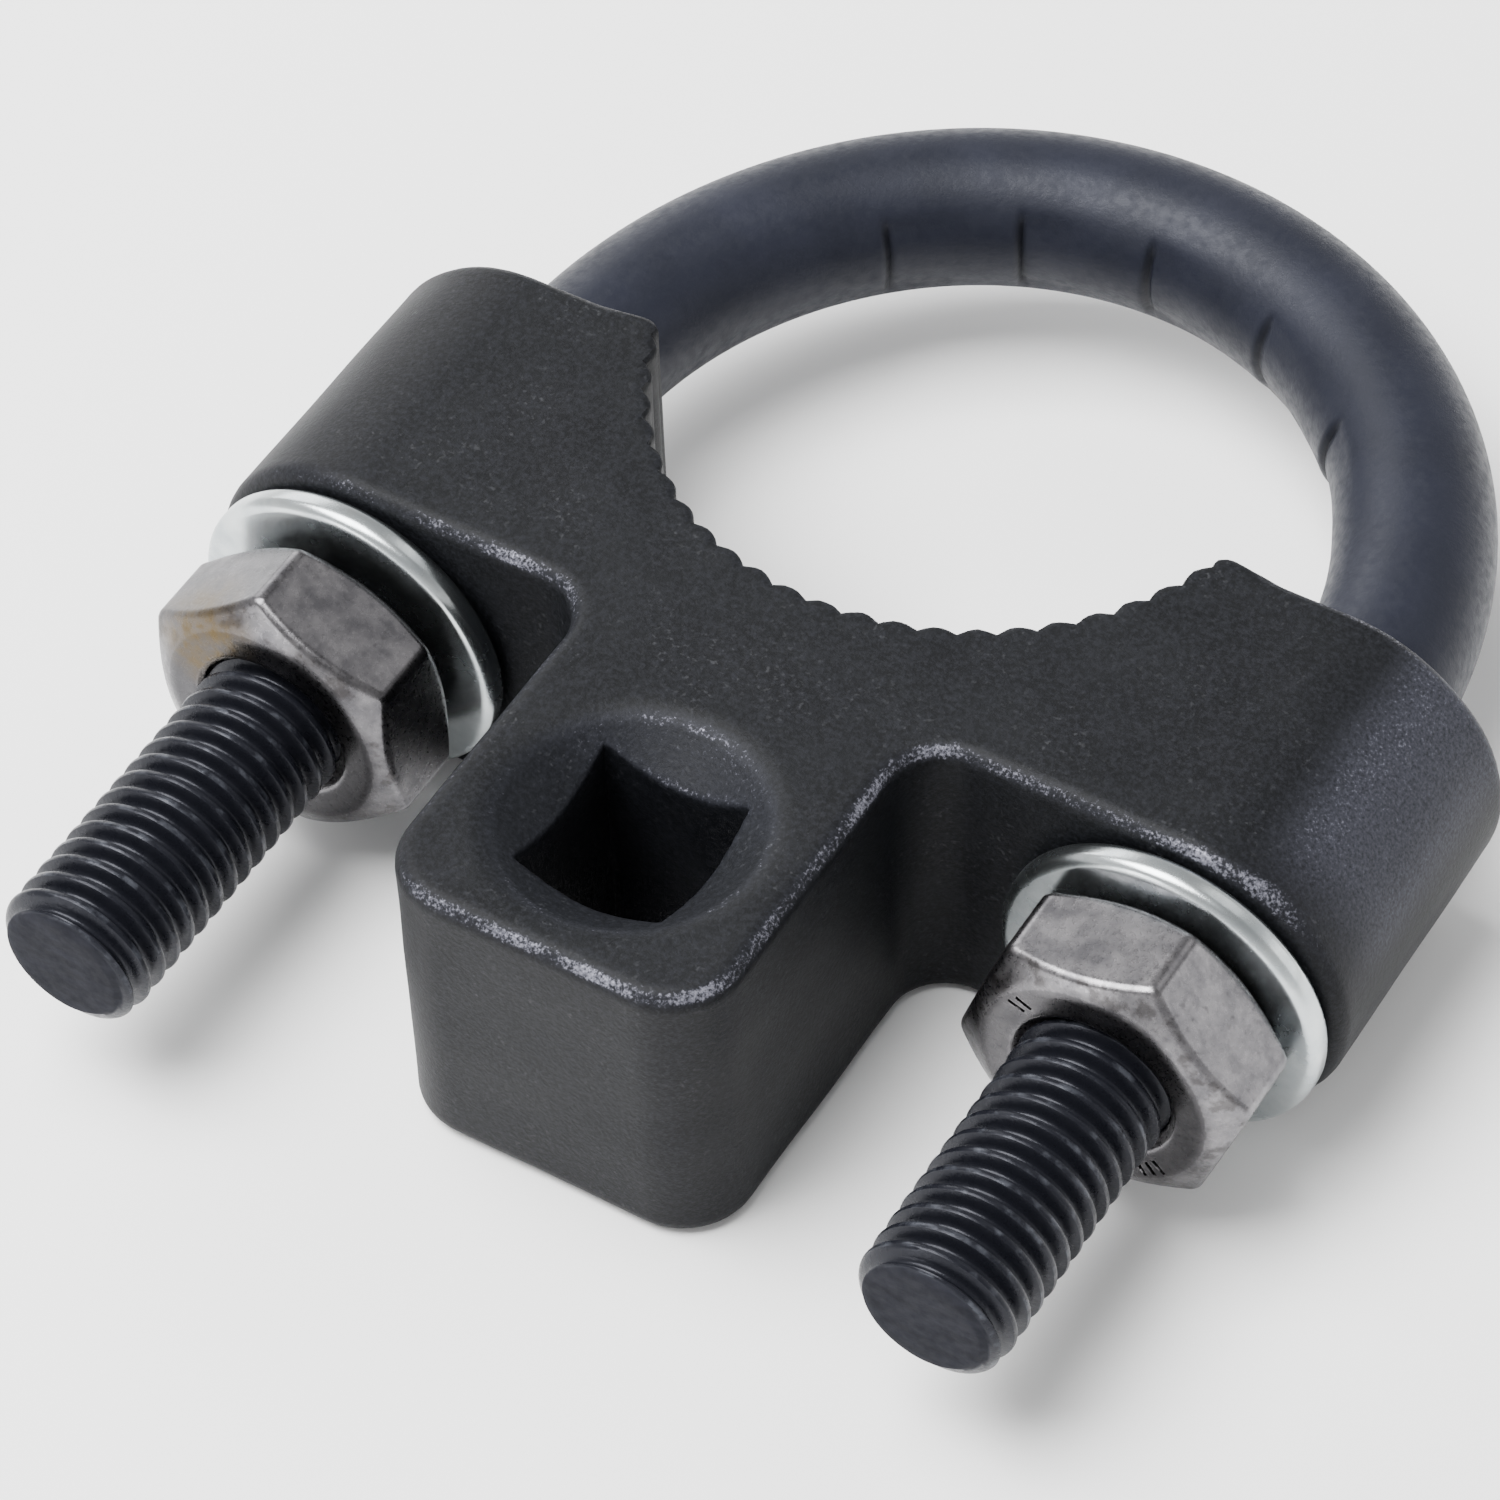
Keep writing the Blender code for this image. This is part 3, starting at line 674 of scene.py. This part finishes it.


# %% [markdown]
# The nuts need smaller cells than the block, for their threads.  Each corner of the mesh
# keeps whether it lies on the chamfer or on the turned face, which is painted darker as shade,
# and whether it lies inside a stamped stroke, which is darkened.

# %% Meshes and marks of the nuts
nuts = {}
for side, word in ((-1, "left"), (1, "right")):
    low, high = node_box("nut_" + word)
    distance = nut_distance(side)
    points, faces = contour(distance, low, high, NUT_CELL)
    away = np.hypot(points[:, 0] - side * LEG_X, points[:, 2] - LEG_Z)
    facing = np.abs(slope(distance, points)[:, 1])
    depth = NUT_HEIGHT / 2 - np.abs(points[:, 1] - NUT_FRONT[side] - NUT_HEIGHT / 2)
    marks = {
        "cone": smooth_step(0.3, 0.45, facing) * smooth_step(0.0, 0.5, away - NUT_FACE_RADIUS),
        # painted shade: the turned front disc, marked here, is darkened in the colour
        "front_disc_painted_shade": smooth_step(0.90, 0.99, facing) * (away < NUT_FACE_RADIUS),
        # marks the inside of the stamped strokes, which the finish darkens
        "recess_darkening": smooth_step(0.08, 0.2, depth) * (away > 7.4) * (away < NUT_FACE_RADIUS - 0.2),
    }
    nuts[side] = make_piece("nut_%s_skin" % word, points, [faces], sharp_degrees=80, **marks)

# %% [markdown]
# ## Tools for finishes
#
# Colours are chosen as sRGB hex values, and one function turns them linear for the shader.
# Another adds a node with its settings and links.

# %% Colour and node helpers
def hex_colour(code):
    """Linear RGBA from an sRGB hex code: ((c + 0.055) / 1.055) ^ 2.4 above the toe."""
    channels = [int(code[i : i + 2], 16) / 255 for i in (1, 3, 5)]
    linear = [c / 12.92 if c <= 0.04045 else ((c + 0.055) / 1.055) ** 2.4 for c in channels]
    return (*linear, 1.0)


def add_node(tree, kind, settings=None, inputs=None):
    """Add a node, set its properties, and give each input a value or a link."""
    node = tree.nodes.new(kind)
    for name, value in (settings or {}).items():
        setattr(node, name, value)
    for name, value in (inputs or {}).items():
        if isinstance(value, bpy.types.NodeSocket):
            tree.links.new(value, node.inputs[name])
        else:
            node.inputs[name].default_value = value
    return node


def start_material(name):
    """A material with an empty tree, its shader and object coordinates."""
    material = bpy.data.materials.new(name)
    material.use_nodes = True
    tree = material.node_tree
    shader = tree.nodes["Principled BSDF"]
    place = add_node(tree, "ShaderNodeTexCoord").outputs["Object"]
    return material, tree, shader, place


# %% [markdown]
# A finish is mixed from noise of a few sizes.  Noise is stretched to a mask, masks are
# multiplied, and a mask blends one colour into another.

# %% Patterns and blends
def noise(tree, place, size_mm, detail=3.0, rough=0.55, stretch=None):
    """Noise whose lumps are about size_mm across, from 0 to 1."""
    if stretch:
        place = add_node(tree, "ShaderNodeMapping", inputs={"Vector": place, "Scale": stretch}).outputs[0]
    values = {"Vector": place, "Scale": 1 / (size_mm * MM), "Detail": detail, "Roughness": rough}
    return add_node(tree, "ShaderNodeTexNoise", inputs=values).outputs["Fac"]


def remap(tree, value, low, high, new_low=0.0, new_high=1.0):
    """A clamped straight line from [low, high] to [new_low, new_high]."""
    values = {"Value": value, "From Min": low, "From Max": high, "To Min": new_low, "To Max": new_high}
    return add_node(tree, "ShaderNodeMapRange", inputs=values).outputs[0]


def combine(tree, operation, a, b):
    """Arithmetic on two values, clamped to 0..1."""
    settings = {"operation": operation, "use_clamp": True}
    return add_node(tree, "ShaderNodeMath", settings, {0: a, 1: b}).outputs[0]


def blend_colour(tree, amount, a, b):
    """Colour a where amount is 0, b where it is 1."""
    return add_node(tree, "ShaderNodeMix", {"data_type": "RGBA"}, {0: amount, 6: a, 7: b}).outputs[2]


def attribute(tree, name):
    """A number kept at each point of the mesh."""
    return add_node(tree, "ShaderNodeAttribute", {"attribute_name": name}).outputs["Fac"]


def connect(tree, shader, colour, roughness, height, height_mm, strength=1.0, metallic=None):
    """Link the varying channels to the shader, with a bump of a real height."""
    tree.links.new(colour, shader.inputs["Base Color"])
    tree.links.new(roughness, shader.inputs["Roughness"])
    if metallic is not None:
        tree.links.new(metallic, shader.inputs["Metallic"])
    values = {"Height": height, "Distance": height_mm * MM, "Strength": strength}
    bump = add_node(tree, "ShaderNodeBump", inputs=values)
    tree.links.new(bump.outputs["Normal"], shader.inputs["Normal"])


# %% [markdown]
# ### Black oxide on a shot-blasted forging
#
# The block is alloy steel, shot-blasted and dipped in a hot black-oxide bath.  That
# leaves a soft charcoal skin with a fine grain, pale dust in its pits, and bright steel
# wherever an edge has been knocked.  The grain is about 0.4 mm, a blasting shot's dimple.

# %% Finish of the block
def black_oxide_forging():
    material, tree, shader, place = start_material("black_oxide_shot_blasted_steel")
    grain = noise(tree, place, 0.40, detail=4, rough=0.7)
    lumps = noise(tree, place, 5.0, detail=3)
    base = blend_colour(tree, remap(tree, lumps, 0.3, 0.7), hex_colour("#0b0c0e"), hex_colour("#111214"))
    base = blend_colour(tree, remap(tree, grain, 0.42, 0.70), base, hex_colour("#1c1d21"))
    specks = remap(tree, noise(tree, place, 0.5, detail=2), 0.60, 0.74)
    drifts = remap(tree, noise(tree, place, 7.0, detail=3), 0.42, 0.66)
    dust = combine(tree, "MULTIPLY", specks, drifts)
    base = blend_colour(tree, combine(tree, "MULTIPLY", dust, 0.4), base, hex_colour("#444548"))
    cut_steel = combine(tree, "MULTIPLY", attribute(tree, "machined"), 0.15)
    base = blend_colour(tree, cut_steel, base, hex_colour("#191b22"))
    flecks = noise(tree, place, 0.28, detail=4, rough=0.7)
    patches = noise(tree, place, 3.0, detail=2)
    worn = attribute(tree, "wear")
    grainy = remap(tree, flecks, 0.35, 0.68, 0.2, 1.0)
    # painted highlight and painted reflection, together with the sheen of worn edges: these places are
    # lightened towards blue grey, broken by fine grain
    wear_sheen_and_painted_highlight = combine(tree, "MULTIPLY", attribute(tree, "wear_sheen_and_painted_highlight"), grainy)
    base = blend_colour(tree, wear_sheen_and_painted_highlight, base, hex_colour("#3e3f48"))
    worn_part = combine(tree, "MULTIPLY", worn, 0.36)
    reach = combine(tree, "ADD", worn_part, combine(tree, "MULTIPLY", patches, 0.16))
    bare = remap(tree, combine(tree, "ADD", flecks, reach), 0.755, 1.08, 0.0, 1.0)
    bare = combine(tree, "MULTIPLY", bare, remap(tree, worn, 0.0, 0.2))
    colour = blend_colour(tree, bare, base, hex_colour("#8c8c98"))
    roughness = remap(tree, bare, 0, 1, 0.50, 0.36)
    grain_part = combine(tree, "MULTIPLY", grain, 0.7)
    height = combine(tree, "ADD", grain_part, combine(tree, "MULTIPLY", lumps, 0.3))
    connect(tree, shader, colour, roughness, height, 0.11, 0.6, metallic=remap(tree, bare, 0, 1, 0.0, 0.8))
    shader.inputs["Specular IOR Level"].default_value = 0.10
    return material


stands_for(block, "clamp_block", black_oxide_forging())

# %% [markdown]
# ### Blue-black oxide on drawn bar
#
# The bar was smooth before it was blackened, so the same bath leaves a satin film with a
# blue cast.  Oil stays in the threads and makes them glossier, and the sawn ends are grey.

# %% Finish of the U-bolt
def black_oxide_bar():
    material, tree, shader, place = start_material("blue_black_oxide_drawn_bar")
    clouds = noise(tree, place, 9.0, detail=4)
    fine = noise(tree, place, 0.4, detail=4, rough=0.65)
    base = blend_colour(tree, remap(tree, clouds, 0.3, 0.7), hex_colour("#171922"), hex_colour("#1f212b"))
    base = blend_colour(tree, remap(tree, fine, 0.5, 0.8, 0, 0.3), base, hex_colour("#262830"))
    thread = attribute(tree, "thread")
    base = blend_colour(tree, thread, base, hex_colour("#1a1b21"))
    rubbed = remap(tree, attribute(tree, "crest"), 0.9, 1.0)
    rubbed = combine(tree, "MULTIPLY", rubbed, remap(tree, noise(tree, place, 1.6, detail=4), 0.5, 0.66))
    base = blend_colour(tree, combine(tree, "MULTIPLY", rubbed, 0.4), base, hex_colour("#5d6068"))
    cut = attribute(tree, "cut")
    scratches = noise(tree, place, 1.1, detail=4, stretch=(0.4, 1, 1.3))
    scratched = remap(tree, scratches, 0.35, 0.7)
    end = blend_colour(tree, scratched, hex_colour("#15161c"), hex_colour("#1f2027"))
    base = blend_colour(tree, cut, base, end)
    # painted shade: the creases of the bend are darkened to a thin near-black line
    recess_darkening = combine(tree, "MULTIPLY", attribute(tree, "recess_darkening"), 0.6)
    base = blend_colour(tree, recess_darkening, base, hex_colour("#060608"))
    film = remap(tree, thread, 0, 1, 0.42, 0.25)
    smears = remap(tree, noise(tree, place, 0.9, detail=3), 0.4, 0.7, 0, 0.14)
    roughness = combine(tree, "ADD", film, smears)
    roughness = combine(tree, "ADD", roughness, combine(tree, "MULTIPLY", cut, 0.4))
    metal = remap(tree, combine(tree, "SUBTRACT", thread, cut), 0, 1, 0.15, 0.4)
    connect(tree, shader, base, roughness, fine, 0.05, 0.5, metallic=metal)
    shader.inputs["Specular IOR Level"].default_value = 0.19
    return material


stands_for(u_bolt, "u_bolt", black_oxide_bar())

# %% [markdown]
# ### Bright zinc
#
# The washers are zinc plated and passivated clear: a pale, slightly blue metal with a
# satin gloss, faint stamping waves and a few dull spots.

# %% Finish of the washers
def bright_zinc():
    material, tree, shader, place = start_material("bright_zinc_plate_on_steel")
    clouds = noise(tree, place, 3.0, detail=4)
    fine = noise(tree, place, 0.35, detail=3)
    base = blend_colour(tree, remap(tree, clouds, 0.3, 0.7), hex_colour("#a9b0b3"), hex_colour("#c8cdcd"))
    spots = remap(tree, noise(tree, place, 1.2, detail=3), 0.68, 0.78)
    base = blend_colour(tree, combine(tree, "MULTIPLY", spots, 0.5), base, hex_colour("#7d8488"))
    roughness = remap(tree, clouds, 0.3, 0.7, 0.30, 0.22)
    connect(tree, shader, base, roughness, fine, 0.012, 0.5)
    shader.inputs["Metallic"].default_value = 1.0
    return material


zinc = bright_zinc()
for side, word in ((-1, "left"), (1, "right")):
    stands_for(washers[side], "washer_" + word, zinc)

# %% [markdown]
# ### Plain steel
#
# The nuts have no plating.  Handling leaves them a mottled grey with dark specks, and dark
# brown blots on the chamfers.  The turned front disc is painted darker as shade, and the insides
# of the stamped strokes are darker.  One has a yellow-brown water stain on its front, and that
# nut is also painted darker all over as shade.

# %% Finish of the nuts
def plain_steel(name, stained_and_painted_darker, front_disc_shade_amount):
    material, tree, shader, place = start_material(name)
    clouds = noise(tree, place, 2.2, detail=5, rough=0.65)
    fine = noise(tree, place, 0.35, detail=4, rough=0.7)
    base = blend_colour(tree, remap(tree, clouds, 0.35, 0.65), hex_colour("#59585b"), hex_colour("#7c7a7c"))
    if stained_and_painted_darker:
        # painted shade: the left nut's whole colour is darkened by 0.3 towards dark grey
        base = blend_colour(tree, 0.3, base, hex_colour("#2e2d2f"))
    specks = remap(tree, noise(tree, place, 0.8, detail=3), 0.62, 0.72)
    base = blend_colour(tree, combine(tree, "MULTIPLY", specks, 0.5), base, hex_colour("#3d3c3e"))
    # painted shade: the turned front disc is darkened, more on the left nut than on the right
    front_disc_painted_shade = combine(tree, "MULTIPLY", attribute(tree, "front_disc_painted_shade"), front_disc_shade_amount)
    base = blend_colour(tree, front_disc_painted_shade, base, hex_colour("#3e3d3f"))
    blots = remap(tree, noise(tree, place, 1.7, detail=4), 0.50, 0.60)
    blots = combine(tree, "MULTIPLY", blots, attribute(tree, "cone"))
    base = blend_colour(tree, combine(tree, "MULTIPLY", blots, 0.5), base, hex_colour("#2b2724"))
    if stained_and_painted_darker:
        centre = Vector((-LEG_X - 6, NUT_FRONT[-1], LEG_Z + 7)) * MM
        near = add_node(tree, "ShaderNodeVectorMath", {"operation": "DISTANCE"}, {0: place, 1: centre})
        stain = remap(tree, near.outputs["Value"], 0.0065, 0.003)
        stain = combine(tree, "MULTIPLY", stain, remap(tree, clouds, 0.3, 0.6))
        base = blend_colour(tree, combine(tree, "MULTIPLY", stain, 0.8), base, hex_colour("#50401c"))
    # the inside of the stamped strokes is darkened almost to black
    recess_darkening = combine(tree, "MULTIPLY", attribute(tree, "recess_darkening"), 0.9)
    base = blend_colour(tree, recess_darkening, base, hex_colour("#0c0c0d"))
    roughness = remap(tree, fine, 0.3, 0.7, 0.23, 0.36)
    connect(tree, shader, base, roughness, fine, 0.03, 0.5)
    shader.inputs["Metallic"].default_value = 1.0
    return material


for side, word in ((-1, "left"), (1, "right")):
    steel = plain_steel("plain_steel_" + word, stained_and_painted_darker=side < 0, front_disc_shade_amount=0.85 if side < 0 else 0.6)
    stands_for(nuts[side], "nut_" + word, steel)

# %% [markdown]
# ## Floor, light and camera
#
# The tool lies on a plain pale floor under a broad soft light, as small parts are shown
# in a catalogue.  The camera looks down at about 49 degrees from the front right.

# %% Stage
FLOOR_HALF = 3000.0
# just below the block, whose underside waves a little
FLOOR_Z = -0.08


def make_floor():
    """A wide square plane under the tool."""
    signs = np.array([(-1, -1, 0), (1, -1, 0), (1, 1, 0), (-1, 1, 0)])
    points = FLOOR_HALF * signs
    points[:, 2] = FLOOR_Z
    floor = make_piece("floor", points, [np.array([[0, 1, 2, 3]])])
    material, _, shader, _ = start_material("matt_white_paper")
    shader.inputs["Base Color"].default_value = hex_colour("#ffffff")
    shader.inputs["Roughness"].default_value = 0.9
    floor.data.materials.append(material)


# %% [markdown]
# One large light stands above the tool and four smaller ones stand in for windows.  They
# draw the pale streaks along the bar and the flats.  The sky fills the shadows.

# %% Lights and sky
def add_area(name, position, size, power, target=(0, 0, 0.014)):
    """A square area light aimed at the tool."""
    lamp = bpy.data.lights.new(name, "AREA")
    lamp.size = size
    lamp.energy = power
    light = bpy.data.objects.new(name, lamp)
    light.location = position
    light.rotation_euler = (Vector(target) - Vector(position)).to_track_quat("-Z", "Y").to_euler()
    bpy.context.collection.objects.link(light)
    print(f"{name}: {size * 1000:.0f} mm wide, {power} W")


def add_sky(tree):
    """A room that is bright round the horizon and dimmer above: strength from height."""
    direction = add_node(tree, "ShaderNodeTexCoord").outputs["Generated"]
    height = add_node(tree, "ShaderNodeSeparateXYZ", inputs={"Vector": direction}).outputs["Z"]
    strength = remap(tree, height, 0.0, 0.75, 1.5, 0.45)
    tree.links.new(strength, tree.nodes["Background"].inputs["Strength"])
    tree.nodes["Background"].inputs["Color"].default_value = (1, 1, 1, 1)


make_floor()
world = bpy.data.worlds.new("soft_studio")
world.use_nodes = True
add_sky(world.node_tree)
bpy.context.scene.world = world
add_area("key", (-0.28, -0.18, 0.80), 0.62, 24)
add_area("left_window", (-0.75, 0.50, 0.42), 0.45, 3.2)
add_area("right_window", (0.80, 0.48, 0.26), 0.40, 0.8)
add_area("back_window", (0.33, 0.52, 0.76), 0.35, 0.6)
add_area("front_window", (-0.40, -1.0, 0.13), 0.28, 2.3)

# %% [markdown]
# A long lens from close to half a metre keeps the legs nearly parallel.  The camera's axes
# are written out, because they were fitted as a whole.

# %% Camera
camera_data = bpy.data.cameras.new("camera")
camera_data.sensor_width = 36
camera_data.lens = 146.8
camera_data.clip_start, camera_data.clip_end = 0.01, 20
camera = bpy.data.objects.new("camera", camera_data)
right = Vector((0.85532, 0.51732, -0.02841))
forward = Vector((-0.35720, 0.54908, -0.75559))
up = right.cross(forward)
turn = Matrix((right, up, -forward)).transposed().to_4x4()
camera.matrix_world = Matrix.Translation(Vector((0.16844, -0.27691, 0.37599))) @ turn
bpy.context.collection.objects.link(camera)
bpy.context.scene.camera = camera
print("camera is", round((camera.location - Vector((0, 0, 0.014))).length, 3), "m away")
